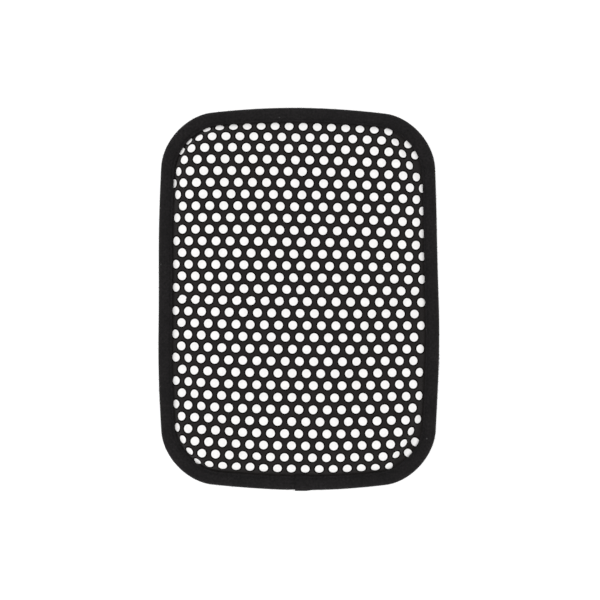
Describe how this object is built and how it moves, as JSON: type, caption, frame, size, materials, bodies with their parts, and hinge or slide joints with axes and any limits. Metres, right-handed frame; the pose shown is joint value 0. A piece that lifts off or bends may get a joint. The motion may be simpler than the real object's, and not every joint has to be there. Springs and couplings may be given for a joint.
{
  "type": "armrest pad",
  "caption": "Sewn foam armrest pad with rounded corners, a crowned black face printed with raised white dots, a flat back and a folded tape binding all round.",
  "frame": {"origin": "centre of the flat back, on the plane that the pad rests on", "axes": "+Z out of the crowned dotted face, +Y along the pad's length away from the tape lap, +X across it"},
  "size_m": [0.204, 0.278, 0.0149],
  "materials": {
    "face_fabric": "matte",
    "raised_dots": "matte",
    "foam": "matte",
    "backing_fabric": "matte",
    "binding_tape": "matte",
    "sewing_thread": "satin"
  },
  "bodies": {
    "root": {"face_fabric": "face_fabric", "raised_dots": "raised_dots", "foam_core": "foam", "backing_fabric": "backing_fabric", "edge_binding": "binding_tape", "needle_thread": "sewing_thread", "bobbin_thread": "sewing_thread", "joining_seam_thread": "sewing_thread"}
  },
  "joints": []
}
